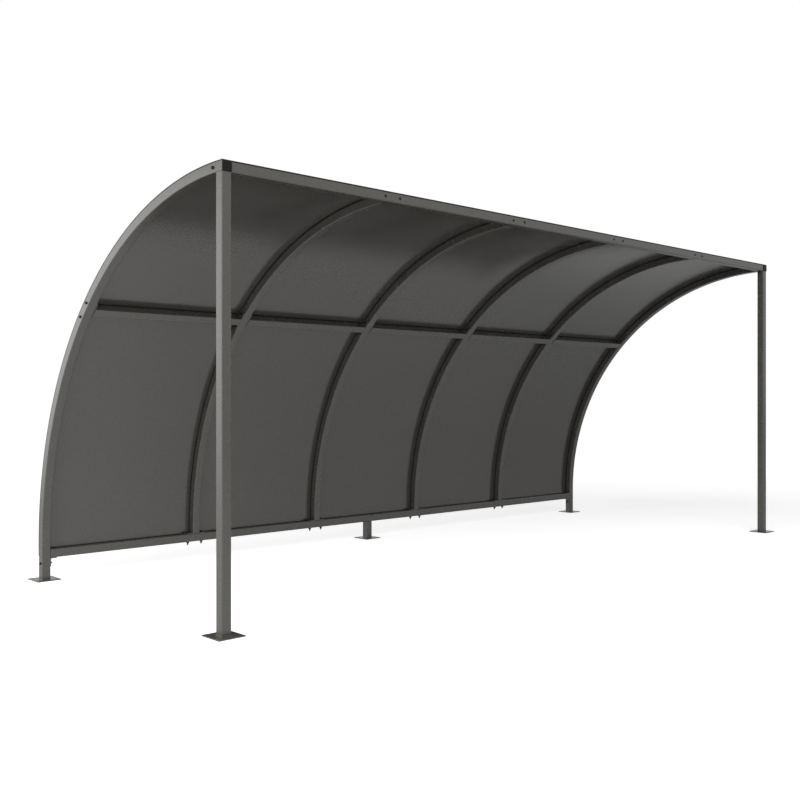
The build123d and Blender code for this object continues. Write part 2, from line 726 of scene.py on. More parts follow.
def hand_over(
    shape: Geometry, name: str, finish: Finish, stands_for: Sequence[str] = ()
) -> bpy.types.Object:
    """Turn a mesh in the making to a finished piece of the shelter.

    Args:
        shape: the mesh, in place in the part's frame. It is used up.
        name: the piece's name.
        finish: its surface finish.
        stands_for: the nodes that it is shown instead of.

    Returns:
        The piece, which rides on the shelter.
    """
    bmesh.ops.recalc_face_normals(shape, faces=shape.faces)
    mesh = bpy.data.meshes.new(name)
    shape.to_mesh(mesh)
    shape.free()
    mesh.shade_smooth()
    mesh.set_sharp_from_angle(angle=SHARP_ANGLE)
    mesh.materials.append(finish.material())
    piece = bpy.data.objects.new(name, mesh)
    bpy.context.scene.collection.objects.link(piece)
    even = piece.modifiers.new("even_flats", "WEIGHTED_NORMAL")
    even.keep_sharp = True
    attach(piece, ROOT)
    if stands_for:
        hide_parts(*stands_for)
    LOG.info("%s: %d faces, %s", name, len(mesh.polygons), finish.name)
    return piece


@dataclass(frozen=True)
class WeldBead:
    """A run of weld metal in an inner corner, laid down one ripple after another."""

    leg: float = 4.0 * MM
    radius_per_leg: float = 0.72
    ripple: float = 3.0 * MM
    steps_per_ripple: int = 3
    sides: int = 8
    swell: float = 0.09

    def _ring(self, shape: Geometry, place: Vector, along: Vector) -> Ring:
        """Draw the bead's round section at its start.

        Args:
            shape: the mesh in the making.
            place: middle of the section.
            along: direction in which the bead sets out.

        Returns:
            The section's edges.
        """
        radius = self.leg * self.radius_per_leg
        made = bmesh.ops.create_circle(shape, segments=self.sides, radius=radius)
        turn = Axis.Z.vector.rotation_difference(along).to_matrix().to_4x4()
        bmesh.ops.transform(shape, matrix=Matrix.Translation(place) @ turn, verts=made["verts"])
        return list({edge for end in made["verts"] for edge in end.link_edges})

    def _advance(self, shape: Geometry, ring: Ring, move: Matrix, number: int) -> Ring:
        """Extrude the section by one step, a little thicker or thinner than before.

        Args:
            shape: the mesh in the making.
            ring: edges of the section.
            move: the step as a matrix.
            number: how many steps come before this one.

        Returns:
            The edges of the section at the new end.
        """
        made = bmesh.ops.extrude_edge_only(shape, edges=ring)["geom"]
        corners = vertices_of(made)
        bmesh.ops.transform(shape, matrix=move, verts=corners)
        middle = sum((corner.co for corner in corners), Vector()) / len(corners)
        phase = math.tau / self.steps_per_ripple
        growth = math.sin((number + 1) * phase) - math.sin(number * phase)
        bmesh.ops.scale(
            shape,
            vec=Vector((1.0, 1.0, 1.0)) * (1.0 + self.swell * growth),
            space=Matrix.Translation(-middle),
            verts=corners,
        )
        return [
            item
            for item in made
            if isinstance(item, bmesh.types.BMEdge) and all(end in corners for end in item.verts)
        ]

    def straight(self, start: Vector, end: Vector) -> Geometry:
        """Lay a bead from one point to another.

        Args:
            start: where it begins.
            end: where it stops.

        Returns:
            The bead, closed at both ends.
        """
        shape = bmesh.new()
        run = end - start
        steps = max(2, round(run.length / self.ripple * self.steps_per_ripple))
        ring = self._ring(shape, start, run)
        for number in range(steps):
            ring = self._advance(shape, ring, Matrix.Translation(run / steps), number)
        close_ends(shape)
        return shape

    def round_square(self, centre: Vector, side: float) -> Geometry:
        """Lay a bead round the foot of a square tube that stands on a level plate.

        Args:
            centre: middle of the tube's foot.
            side: side of the tube.

        Returns:
            The endless bead, with its middle on the tube's outline.
        """
        shape = bmesh.new()
        flat = side - 2 * CORNER_RADIUS
        flat_steps = round(flat / self.ripple * self.steps_per_ripple)
        start = centre + Vector((side / 2, -flat / 2, 0.0))
        ring = self._ring(shape, start, Axis.Y.vector)
        first_ring = ring
        number = 0
        for quarter in range(4):
            heading = Matrix.Rotation(quarter * QUARTER_TURN, 4, "Z")
            forwards = Matrix.Translation(heading @ Vector((0.0, flat / flat_steps, 0.0)))
            hinge = centre + heading @ Vector((flat / 2, flat / 2, 0.0))
            bend = (
                Matrix.Translation(hinge)
                @ Matrix.Rotation(QUARTER_TURN / CORNER_STEPS, 4, "Z")
                @ Matrix.Translation(-hinge)
            )
            for move in [forwards] * flat_steps + [bend] * CORNER_STEPS:
                ring = self._advance(shape, ring, move, number)
                number += 1
        bmesh.ops.bridge_loops(shape, edges=first_ring + ring)
        bmesh.ops.remove_doubles(shape, verts=shape.verts, dist=0.01 * MM)
        bmesh.ops.recalc_face_normals(shape, faces=shape.faces)
        return shape


# Beads round the feet of tubes, along end plates, and where two tubes meet flush
FOOT_BEAD = WeldBead()
PLATE_BEAD = WeldBead(leg=3.5 * MM)
THIN_BEAD = WeldBead(leg=2.4 * MM)


@dataclass(frozen=True)
class SideFrame:
    """One end of the shelter: its front post, its arched end rib and the cap on the rib."""

    shelter: Shelter
    side: Side
    cap_edge: float = 1.2 * MM
    cap_pillow: float = 0.4 * MM
    pillow_width: float = 3.0 * MM
    edge_steps: int = 3

    @property
    def x(self) -> float:
        """Place of the side frame along the shelter."""
        return self.side.value * self.shelter.end_rib_x

    def build(self) -> None:
        """Build and dress the post, the rib, the cap and their welds."""
        self._post()
        self._rib()
        self._cap()
        self._welds()

    def _post(self) -> None:
        """Build the straight front post, from its base plate to the rib's underside."""
        shelter = self.shelter
        foot = Vector((self.x, shelter.front_y, shelter.plate_top_z))
        head = Vector((self.x, shelter.front_y, shelter.crown_z - shelter.half_tube))
        node = f"front_post_{self.side.label}"
        hand_over(straight_tube(shelter.tube, foot, head), f"{node}_tube", POWDER_COAT, [node])

    def _rib(self) -> None:
        """Build the bent rib: up the rear leg, round the arch and out to the front."""
        shelter = self.shelter
        node = f"end_rib_{self.side.label}"
        shape = bent_tube(shelter, self.x, shelter.plate_top_z)
        hand_over(shape, f"{node}_tube", POWDER_COAT, [node])

    def _cap(self) -> None:
        """Build the moulded cap: a flange with soft edges and a slightly pillowed face."""
        shelter = self.shelter
        shape = bmesh.new()
        thickness = shelter.front_face_y - shelter.cap_front_y
        outline = rounded_square(shape, shelter.tube)
        height = thickness - self.cap_edge - self.cap_pillow
        front = extrude_faces(shape, outline, (0.0, 0.0, height))
        for step in range(self.edge_steps):
            here, there = (QUARTER_TURN * (step + more) / self.edge_steps for more in (0, 1))
            inwards = self.cap_edge * (math.cos(here) - math.cos(there))
            upwards = self.cap_edge * (math.sin(there) - math.sin(here))
            bmesh.ops.inset_region(shape, faces=front, thickness=inwards, depth=0.0)
            bmesh.ops.translate(shape, vec=(0.0, 0.0, upwards), verts=front[0].verts)
        bmesh.ops.inset_region(shape, faces=front, thickness=self.pillow_width, depth=0.0)
        bmesh.ops.translate(shape, vec=(0.0, 0.0, self.cap_pillow), verts=front[0].verts)
        place = Matrix.Translation((self.x, shelter.front_face_y, shelter.crown_z))
        turn = Matrix.Rotation(QUARTER_TURN, 4, "X")
        bmesh.ops.transform(shape, matrix=place @ turn, verts=shape.verts)
        node = f"rib_cap_{self.side.label}"
        hand_over(shape, f"{node}_moulding", MOULDED_PLASTIC, [node])

    def _welds(self) -> None:
        """Lay the weld beads at both feet and where the post meets the rib."""
        shelter = self.shelter
        shape = bmesh.new()
        for y in (shelter.front_y, shelter.rear_y):
            foot = Vector((self.x, y, shelter.plate_top_z))
            merge(shape, FOOT_BEAD.round_square(foot, shelter.tube))
        joint = Vector((self.x, shelter.beam_back_y, shelter.crown_z - shelter.half_tube))
        across = Vector((shelter.half_tube - CORNER_RADIUS, 0.0, 0.0))
        merge(shape, THIN_BEAD.straight(joint - across, joint + across))
        hand_over(shape, f"side_welds_{self.side.label}", POWDER_COAT)


def bent_tube(shelter: Shelter, x: float, foot_z: float) -> Geometry:
    """Return a rib's tube from its foot to the front face of the beam.

    Args:
        shelter: the sizes of the shelter.
        x: place of the rib along the shelter.
        foot_z: height of its foot.

    Returns:
        The closed tube.
    """
    shape = bmesh.new()
    outline = rounded_square(shape, shelter.tube)
    bmesh.ops.translate(shape, vec=(x, shelter.rear_y, foot_z), verts=shape.verts)
    top = extrude_faces(shape, outline, (0.0, 0.0, shelter.spring_z - foot_z))
    top = spin_faces(shape, top, shelter.arch_axis, QUARTER_TURN, ARCH_STEPS)
    extrude_faces(shape, top, (0.0, shelter.front_face_y - shelter.front_y, 0.0))
    close_ends(shape)
    return shape


@dataclass(frozen=True)
class MiddleRib:
    """A rib between two bays, with its welded foot plate and front plate."""

    shelter: Shelter
    number: int

    @property
    def x(self) -> float:
        """Place of the rib along the shelter."""
        return self.shelter.rib_places[self.number]

    def build(self) -> None:
        """Build and dress the rib with its plates and welds."""
        shelter = self.shelter
        foot_z = shelter.rail_top_z + END_PLATE
        front_end_y = shelter.beam_back_y + END_PLATE
        shape = bent_tube(shelter, self.x, foot_z)
        bmesh.ops.bisect_plane(
            shape,
            geom=[*shape.verts, *shape.edges, *shape.faces],
            plane_co=(0.0, front_end_y, 0.0),
            plane_no=(0.0, -1.0, 0.0),
            clear_outer=True,
        )
        close_ends(shape)
        foot_plate = plate(
            (shelter.end_plate_length, END_PLATE_WIDTH, END_PLATE),
            (self.x, shelter.rear_y, foot_z - END_PLATE / 2),
        )
        front_plate = plate(
            (shelter.end_plate_length, END_PLATE, END_PLATE_WIDTH),
            (self.x, front_end_y - END_PLATE / 2, shelter.beam_z),
        )
        node = f"rib_{self.number}"
        merge(shape, foot_plate, front_plate)
        hand_over(shape, f"{node}_bent_tube", POWDER_COAT, [node])
        self._welds(foot_z, front_end_y)

    def _welds(self, foot_z: float, front_end_y: float) -> None:
        """Lay a bead on each side of the tube, on both plates.

        Args:
            foot_z: upper face of the foot plate.
            front_end_y: rear face of the front plate.
        """
        shelter = self.shelter
        shape = bmesh.new()
        across = Axis.Y.vector * PLATE_BEAD_REACH
        upright = Axis.Z.vector * PLATE_BEAD_REACH
        for end in (-1, 1):
            side_x = self.x + end * shelter.half_tube
            foot = Vector((side_x, shelter.rear_y, foot_z))
            merge(shape, PLATE_BEAD.straight(foot - across, foot + across))
            front = Vector((side_x, front_end_y, shelter.beam_z))
            merge(shape, PLATE_BEAD.straight(front - upright, front + upright))
        hand_over(shape, f"rib_{self.number}_welds", POWDER_COAT)


@dataclass(frozen=True)
class Purlin:
    """A purlin of one bay, with the end plates that are bolted to the ribs."""

    shelter: Shelter
    number: int

    def build(self) -> None:
        """Build and dress the purlin, set square to the arch half way up."""
        shelter = self.shelter
        reach = shelter.half_bay - END_PLATE
        along = Axis.X.vector * reach
        shape = straight_tube(shelter.tube, -along, along)
        welds = bmesh.new()
        across = Axis.Y.vector * PLATE_BEAD_REACH
        for end in (-1, 1):
            plate_x = end * (shelter.half_bay - END_PLATE / 2)
            size = (END_PLATE, END_PLATE_WIDTH, shelter.end_plate_length)
            merge(shape, plate(size, (plate_x, 0.0, 0.0)))
            for face in (-1, 1):
                corner = Vector((end * reach, 0.0, face * shelter.half_tube))
                merge(welds, PLATE_BEAD.straight(corner - across, corner + across))
        bay_x = shelter.bay_places[self.number - 1]
        place = shelter.arch_matrix(bay_x, shelter.purlin_radius, PURLIN_ANGLE)
        for part in (shape, welds):
            bmesh.ops.transform(part, matrix=place, verts=part.verts)
        node = f"purlin_{self.number}"
        hand_over(shape, f"{node}_tube", POWDER_COAT, [node])
        hand_over(welds, f"{node}_welds", POWDER_COAT)


@dataclass(frozen=True)
class LongTubes:
    """The front beam, the bottom rail and the short foot under the middle of the rail."""

    shelter: Shelter

    def build(self) -> None:
        """Build and dress the three tubes and the foot's welds."""
        shelter = self.shelter
        reach = shelter.inner_end_x
        for node, y, z in (
            ("front_beam", shelter.front_y, shelter.beam_z),
            ("bottom_rail", shelter.rear_y, shelter.rail_z),
        ):
            shape = straight_tube(shelter.tube, Vector((-reach, y, z)), Vector((reach, y, z)))
            hand_over(shape, f"{node}_tube", POWDER_COAT, [node])
        foot = Vector((0.0, shelter.rear_y, shelter.plate_top_z))
        head = Vector((0.0, shelter.rear_y, shelter.rail_bottom_z))
        shape = straight_tube(shelter.tube, foot, head)
        hand_over(shape, "middle_foot_tube", POWDER_COAT, ["middle_foot"])
        welds = FOOT_BEAD.round_square(foot, shelter.tube)
        across = Vector((0.0, shelter.half_tube - CORNER_RADIUS, 0.0))
        for end in (-1, 1):
            corner = head + Vector((end * shelter.half_tube, 0.0, 0.0))
            merge(welds, THIN_BEAD.straight(corner - across, corner + across))
        hand_over(welds, "middle_foot_welds", POWDER_COAT)


@dataclass(frozen=True)
class Cladding:
    """The back sheet and the roof sheet of one bay."""

    shelter: Shelter
    bay: int

    def _edges_x(self) -> tuple[float, float]:
        """Find the edges of the bay's sheets, which run to the outer side of an end rib.

        Returns:
            The places of the left and the right edge along the shelter.
        """
        shelter = self.shelter
        left_rib, right_rib = shelter.rib_places[self.bay - 1:self.bay + 1]
        is_first = self.bay == 1
        is_last = self.bay == len(shelter.bay_places)
        left = left_rib - shelter.half_tube if is_first else left_rib + shelter.sheet_joint / 2
        right = right_rib + shelter.half_tube if is_last else right_rib - shelter.sheet_joint / 2
        return left, right

    def _section(self, shape: Geometry, angle: float) -> Faces:
        """Draw the sheets' cross-section on the arch.

        Args:
            shape: an empty mesh.
            angle: where on the arch, above the level of the spring.

        Returns:
            The one face of the cross-section.
        """
        shelter = self.shelter
        left, right = self._edges_x()
        section = rectangle(shape, right - left, shelter.sheet_thickness)
        middle_radius = shelter.outer_radius + shelter.sheet_thickness / 2
        place = shelter.arch_matrix((left + right) / 2, middle_radius, angle)
        bmesh.ops.transform(shape, matrix=place, verts=shape.verts)
        return section

    def build(self) -> None:
        """Build and dress both sheets, which meet over the purlin with a narrow joint."""
        shelter = self.shelter
        joint_angle = shelter.sheet_joint / 2 / shelter.outer_radius
        back = bmesh.new()
        section = self._section(back, 0.0)
        rise = shelter.spring_z - shelter.sheet_foot_z
        bmesh.ops.translate(back, vec=(0.0, 0.0, -rise), verts=back.verts)
        top = extrude_faces(back, section, (0.0, 0.0, rise))
        spin_faces(back, top, shelter.arch_axis, PURLIN_ANGLE - joint_angle, SHEET_STEPS)
        close_ends(back)
        node = f"back_sheet_{self.bay}"
        hand_over(back, f"{node}_curved", COATED_SHEET, [node])
        roof = bmesh.new()
        section = self._section(roof, PURLIN_ANGLE + joint_angle)
        sweep = QUARTER_TURN - PURLIN_ANGLE - joint_angle
        top = spin_faces(roof, section, shelter.arch_axis, sweep, SHEET_STEPS)
        extrude_faces(roof, top, (0.0, shelter.front_face_y - shelter.front_y, 0.0))
        close_ends(roof)
        node = f"roof_sheet_{self.bay}"
        hand_over(roof, f"{node}_curved", COATED_SHEET, [node])


@dataclass(frozen=True)
class SheetSeals:
    """Sealant tooled into the joints between the sheets, a little below their faces."""

    shelter: Shelter
    recess: float = 0.5 * MM

    @property
    def depth(self) -> float:
        """Depth of the sealant in a joint."""
        return self.shelter.sheet_thickness - self.recess

    def build(self) -> None:
        """Build and dress the seals over the ribs and the seal over the purlins."""
        shape = bmesh.new()
        for rib_x in self.shelter.rib_places[1:-1]:
            merge(shape, self._rib_seal(rib_x))
        merge(shape, self._purlin_seal())
        hand_over(shape, "sheet_joint_seals", SEALANT_AND_CREASE_SHADE)

    def _purlin_seal(self) -> Geometry:
        """Fill the joint between the back sheets and the roof sheets.

        Returns:
            The seal, from end to end of the shelter.
        """
        shelter = self.shelter
        seal = bmesh.new()
        section = rectangle(seal, 2 * shelter.outer_end_x, self.depth)
        bmesh.ops.translate(seal, vec=(0.0, 0.0, -shelter.sheet_joint / 2), verts=seal.verts)
        extrude_faces(seal, section, (0.0, 0.0, shelter.sheet_joint))
        close_ends(seal)
        place = shelter.arch_matrix(0.0, shelter.outer_radius + self.depth / 2, PURLIN_ANGLE)
        bmesh.ops.transform(seal, matrix=place, verts=seal.verts)
        return seal

    def _rib_seal(self, rib_x: float) -> Geometry:
        """Fill the joint between the sheets of two bays.

        Args:
            rib_x: place of the rib below it.

        Returns:
            The seal, from the foot of the sheets to their front edge.
        """
        shelter = self.shelter
        seal = bmesh.new()
        section = rectangle(seal, shelter.sheet_joint, self.depth)
        middle_y = shelter.front_y + shelter.outer_radius + self.depth / 2
        foot = (rib_x, middle_y, shelter.sheet_foot_z)
        bmesh.ops.translate(seal, vec=foot, verts=seal.verts)
        rise = shelter.spring_z - shelter.sheet_foot_z
        top = extrude_faces(seal, section, (0.0, 0.0, rise))
        top = spin_faces(seal, top, shelter.arch_axis, QUARTER_TURN, 2 * SHEET_STEPS)
        extrude_faces(seal, top, (0.0, shelter.front_face_y - shelter.front_y, 0.0))
        close_ends(seal)
        return seal


@dataclass(frozen=True)
class CreaseShadeBeads:
    """Painted crease shade: thin black beads where the sheets lie on the frame.

    The middle of a bead lies the depth below the sheets' inner side and the overlap inside the
    tube beside it. The bead at the beam is set back from the sheets' front edge.
    """

    shelter: Shelter
    radius: float = 3.5 * MM
    sides: int = 8
    depth: float = 2.6 * MM
    overlap: float = 0.5 * MM
    edge_setback: float = 2.5 * MM

    def build(self) -> None:
        """Build and dress the beads along the ribs, the purlins, the rail and the beam."""
        shelter = self.shelter
        reach = shelter.half_tube - self.overlap
        last = len(shelter.rib_places) - 1
        shape = bmesh.new()
        for number, rib_x in enumerate(shelter.rib_places):
            if number > 0:
                merge(shape, self._rib_bead(rib_x - reach))
            if number < last:
                merge(shape, self._rib_bead(rib_x + reach))
        bead_radius = shelter.outer_radius - self.depth
        for bay_x in shelter.bay_places:
            centre, outwards = shelter.on_arch(bay_x, bead_radius, PURLIN_ANGLE)
            aside = reach * outwards.cross(Axis.X.vector)
            for middle in (centre - aside, centre + aside):
                merge(shape, self._level_bead(middle, shelter.half_bay - END_PLATE))
        rail_crease = (shelter.front_y + bead_radius, shelter.rail_top_z - self.overlap)
        beam_crease = (
            shelter.front_face_y + self.edge_setback,
            shelter.crown_z + shelter.half_tube - self.depth,
        )
        for y, z in (rail_crease, beam_crease):
            merge(shape, self._level_bead(Vector((0.0, y, z)), shelter.inner_end_x))
        # The black beads paint the shade in the creases.
        hand_over(shape, "painted_crease_shade", SEALANT_AND_CREASE_SHADE)

    def _outline(self, shape: Geometry) -> Faces:
        """Draw the bead's round section on the XY plane."""
        bmesh.ops.create_circle(shape, cap_ends=True, segments=self.sides, radius=self.radius)
        return list(shape.faces)

    def _level_bead(self, middle: Vector, reach: float) -> Geometry:
        """Lay a bead along the shelter.

        Args:
            middle: its middle.
            reach: how far it runs to each side of the middle.

        Returns:
            The closed bead.
        """
        shape = bmesh.new()
        along = Axis.X.vector * reach
        return stretch(shape, self._outline(shape), middle - along, middle + along)

    def _rib_bead(self, x: float) -> Geometry:
        """Lay a bead along one side of a rib, from the rail to the back of the beam.

        Args:
            x: place of the bead along the shelter.

        Returns:
            The closed bead.
        """
        shelter = self.shelter
        shape = bmesh.new()
        outline = self._outline(shape)
        inside_y = shelter.front_y + shelter.outer_radius - self.depth
        start = (x, inside_y, shelter.rail_top_z)
        bmesh.ops.translate(shape, vec=start, verts=shape.verts)
        rise = shelter.spring_z - shelter.rail_top_z
        top = extrude_faces(shape, outline, (0.0, 0.0, rise))
        sweep = QUARTER_TURN - math.asin(shelter.half_tube / shelter.outer_radius)
        spin_faces(shape, top, shelter.arch_axis, sweep, ARCH_STEPS)
        close_ends(shape)
        return shape


@dataclass(frozen=True)
class FastenerShapes:
    """Shapes of the fasteners, each with its seat on Z = 0 and its head or end along +Z."""

    across_flats: float = 13.0 * MM
    head_height: float = 5.3 * MM
    nut_height: float = 6.8 * MM
    hexagon_chamfer: float = 0.7 * MM
    washer_radius: float = 8.0 * MM
    washer_thickness: float = 1.6 * MM
    washer_chamfer: float = 0.3 * MM
    shank_radius: float = 4.0 * MM
    thread_pitch: float = 1.25 * MM
    thread_root_share: float = 0.86
    reach: float = 14.0 * MM
    dome_radius: float = 8.5 * MM
    dome_height: float = 5.0 * MM
    screw_washer_radius: float = 7.0 * MM
    screw_washer_thickness: float = 1.0 * MM
    screw_head_radius: float = 4.6 * MM
    screw_head_sink: float = 0.2 * MM
    screw_head_chamfer: float = 1.0 * MM
    screw_height: float = 3.2 * MM
    round_sides: int = 24
    thread_sides: int = 16
    screw_sides: int = 12

    @staticmethod
    def _prism(sides: int, radius: float, bottom: float, top: float, edge: float) -> Geometry:
        """Make an upright prism, or a disc where it has many sides.

        Args:
            sides: number of its sides.
            radius: radius of its corners.
            bottom: height of its lower face.
            top: height of its upper face.
            edge: chamfer of its upper rim.

        Returns:
            The closed shape.
        """
        shape = bmesh.new()
        bmesh.ops.create_cone(
            shape,
            cap_ends=True,
            segments=sides,
            radius1=radius,
            radius2=radius,
            depth=top - bottom,
        )
        bmesh.ops.translate(shape, vec=(0.0, 0.0, (top + bottom) / 2), verts=shape.verts)
        upper = max(shape.faces, key=lambda face: face.calc_center_median().z)
        bmesh.ops.bevel(
            shape,
            geom=list(upper.edges),
            offset=edge,
            segments=1,
            profile=0.5,
            affect="EDGES",
            material=-1,
        )
        return shape

    def _on_washer(self, height: float) -> Geometry:
        """Make a hexagon that lies on a washer.

        Args:
            height: height of the hexagon above the washer.

        Returns:
            Both as one mesh.
        """
        bottom = self.washer_thickness
        corner_radius = self.across_flats / 2 / math.cos(math.pi / 6)
        return merge(
            self._prism(self.round_sides, self.washer_radius, 0.0, bottom, self.washer_chamfer),
            self._prism(6, corner_radius, bottom, bottom + height, self.hexagon_chamfer),
        )

    def hex_head(self) -> Geometry:
        """Return a hexagon bolt head on its washer."""
        return self._on_washer(self.head_height)

    def nut_and_end(self) -> Geometry:
        """Make a washer and a nut, with the bolt's threaded end standing out of them.

        Returns:
            The three pieces as one mesh.
        """
        thread = bmesh.new()
        bmesh.ops.create_circle(
            thread, cap_ends=True, segments=self.thread_sides, radius=self.shank_radius
        )
        start = self.washer_thickness + self.nut_height - self.thread_pitch
        bmesh.ops.translate(thread, vec=(0.0, 0.0, start), verts=thread.verts)
        end = list(thread.faces)
        turns = max(1, round((self.reach - start) / self.thread_pitch))
        for _ in range(turns):
            for share in (self.thread_root_share, 1.0 / self.thread_root_share):
                end = extrude_faces(thread, end, (0.0, 0.0, self.thread_pitch / 2))
                bmesh.ops.scale(thread, vec=(share, share, 1.0), verts=end[0].verts)
        close_ends(thread)
        return merge(self._on_washer(self.nut_height), thread)

    def domed_head(self) -> Geometry:
        """Make a plain low dome, as on a cup head bolt.

        Returns:
            The top of a ball, cut off flat.
        """
        shape = bmesh.new()
        ball = (self.dome_radius ** 2 + self.dome_height ** 2) / (2 * self.dome_height)
        sides = self.round_sides
        bmesh.ops.create_uvsphere(shape, u_segments=sides, v_segments=sides, radius=ball)
        sink = ball - self.dome_height
        bmesh.ops.translate(shape, vec=(0.0, 0.0, -sink), verts=shape.verts)
        bmesh.ops.bisect_plane(
            shape,
            geom=[*shape.verts, *shape.edges, *shape.faces],
            plane_co=(0.0, 0.0, 0.0),
            plane_no=(0.0, 0.0, -1.0),
            clear_outer=True,
        )
        close_ends(shape)
        return shape

    def sheet_screw(self) -> Geometry:
        """Make a low round head on a washer, for the sheets.

        Returns:
            Both as one mesh.
        """
        washer_top = self.screw_washer_thickness
        head_foot = washer_top - self.screw_head_sink
        sides, chamfer = self.screw_sides, self.screw_head_chamfer
        return merge(
            self._prism(sides, self.screw_washer_radius, 0.0, washer_top, self.washer_chamfer),
            self._prism(sides, self.screw_head_radius, head_foot, self.screw_height, chamfer),
        )


@dataclass(frozen=True)
class Fasteners:
    """All bolts, nuts and screws of the shelter, set out from the pieces that they join."""

    shelter: Shelter
    shapes: FastenerShapes = FastenerShapes()
    rail_shapes: FastenerShapes = FastenerShapes(
        across_flats=17.0 * MM,
        head_height=6.4 * MM,
        nut_height=8.4 * MM,
        washer_radius=12.0 * MM,
        washer_thickness=2.5 * MM,
        shank_radius=5.0 * MM,
        thread_pitch=1.5 * MM,
        reach=21.0 * MM,
    )
    screw_pitch: float = 280.0 * MM
    screw_edge: float = 12.0 * MM
    bracket_bolt_drop: float = 31.0 * MM
    bracket_bolt_back: float = 24.0 * MM
    bracket_leg: float = 5.0 * MM

    def build(self) -> None:
        """Set out and dress each group of fasteners."""
        self._beam_bolts()
        self._rail_bolts()
        self._purlin_bolts()
        self._bracket_bolts()
        self._sheet_screws()

    @staticmethod
    def _set_out(pattern: Geometry, spots: Sequence[Spot]) -> Geometry:
        """Copy a fastener to each spot.

        Args:
            pattern: the fastener's shape. It is used up.
            spots: each copy's seat and the direction in which it stands out.

        Returns:
            The copies as one mesh.
        """
        carrier = bpy.data.meshes.new("pattern")
        pattern.to_mesh(carrier)
        pattern.free()
        shape = bmesh.new()
        for seat, direction in spots:
            known = len(shape.verts)
            shape.from_mesh(carrier)
            shape.verts.ensure_lookup_table()
            turn = Axis.Z.vector.rotation_difference(direction).to_matrix().to_4x4()
            bmesh.ops.transform(
                shape, matrix=Matrix.Translation(seat) @ turn, verts=shape.verts[known:]
            )
        bpy.data.meshes.remove(carrier)
        return shape

    def _bolts(
        self,
        joint: str,
        head: Geometry,
        heads: Sequence[Spot],
        nut: Geometry,
        nuts: Sequence[Spot],
    ) -> None:
        """Set out and dress the bolts of one kind of joint.

        Args:
            joint: name of the joint that they hold.
            head: shape of a head. It is used up.
            heads: spots of the heads.
            nut: shape of a nut with the bolt's end. It is used up.
            nuts: spots of the nuts.
        """
        hand_over(self._set_out(head, heads), f"{joint}_bolt_heads", BLACK_TOPCOAT)
        hand_over(self._set_out(nut, nuts), f"{joint}_bolt_nuts", BLACK_TOPCOAT)

    def _pairs(self, y: float, z: float, direction: Vector) -> list[Spot]:
        """Find the spots of the bolt pairs at the ends of the middle ribs.

        Args:
            y: place of the seats from front to back.
            z: height of the seats.
            direction: direction in which the fasteners stand out.

        Returns:
            The spots, two at each rib.
        """
        return [
            (Vector((rib_x + end * BOLT_OFFSET, y, z)), direction)
            for rib_x in self.shelter.rib_places[1:-1]
            for end in (-1, 1)
        ]

    def _beam_bolts(self) -> None:
        """Set the domed heads on the front of the beam, and their nuts behind the plates."""
        shelter = self.shelter
        back = Axis.Y.vector
        heads = self._pairs(shelter.front_face_y, shelter.beam_z, -back)
        nuts = self._pairs(shelter.beam_back_y + END_PLATE, shelter.beam_z, back)
        self._bolts("beam", self.shapes.domed_head(), heads, self.shapes.nut_and_end(), nuts)

    def _rail_bolts(self) -> None:
        """Set the heads on the ribs' foot plates, and their nuts below the rail."""
        shelter = self.shelter
        up = Axis.Z.vector
        heads = self._pairs(shelter.rear_y, shelter.rail_top_z + END_PLATE, up)
        nuts = self._pairs(shelter.rear_y, shelter.rail_bottom_z, -up)
        shapes = self.rail_shapes
        self._bolts("rail", shapes.hex_head(), heads, shapes.nut_and_end(), nuts)

    def _purlin_bolts(self) -> None:
        """Set the bolts that go through each rib and the purlin plates beside it."""
        shelter = self.shelter
        along = Axis.X.vector
        heads: list[Spot] = []
        nuts: list[Spot] = []
        last = len(shelter.rib_places) - 1
        for number, rib_x in enumerate(shelter.rib_places):
            left_x = rib_x - shelter.half_tube - (END_PLATE if number > 0 else 0.0)
            right_x = rib_x + shelter.half_tube + (END_PLATE if number < last else 0.0)
            for end in (-1, 1):
                centre, outwards = shelter.on_arch(0.0, shelter.purlin_radius, PURLIN_ANGLE)
                seat = centre + end * BOLT_OFFSET * outwards.cross(along)
                left = (seat + along * left_x, -along)
                right = (seat + along * right_x, along)
                heads.append(right if number == last else left)
                nuts.append(left if number == last else right)
        self._bolts("purlin", self.shapes.hex_head(), heads, self.shapes.nut_and_end(), nuts)

    def _bracket_bolts(self) -> None:
        """Set the bolts that hold the brackets to the end ribs."""
        shelter = self.shelter
        seats = (
            Vector((0.0, shelter.rear_y, shelter.rail_bottom_z - self.bracket_bolt_drop)),
            Vector((0.0, shelter.beam_back_y + self.bracket_bolt_back, shelter.beam_z)),
        )
        heads: list[Spot] = []
        nuts: list[Spot] = []
        nut_x = shelter.inner_end_x - self.bracket_leg
        for side in Side:
            outwards = Axis.X.vector * side.value
            for seat in seats:
                heads.append((seat + outwards * shelter.outer_end_x, outwards))
                nuts.append((seat + outwards * nut_x, -outwards))
        self._bolts("bracket", self.shapes.hex_head(), heads, self.shapes.nut_and_end(), nuts)

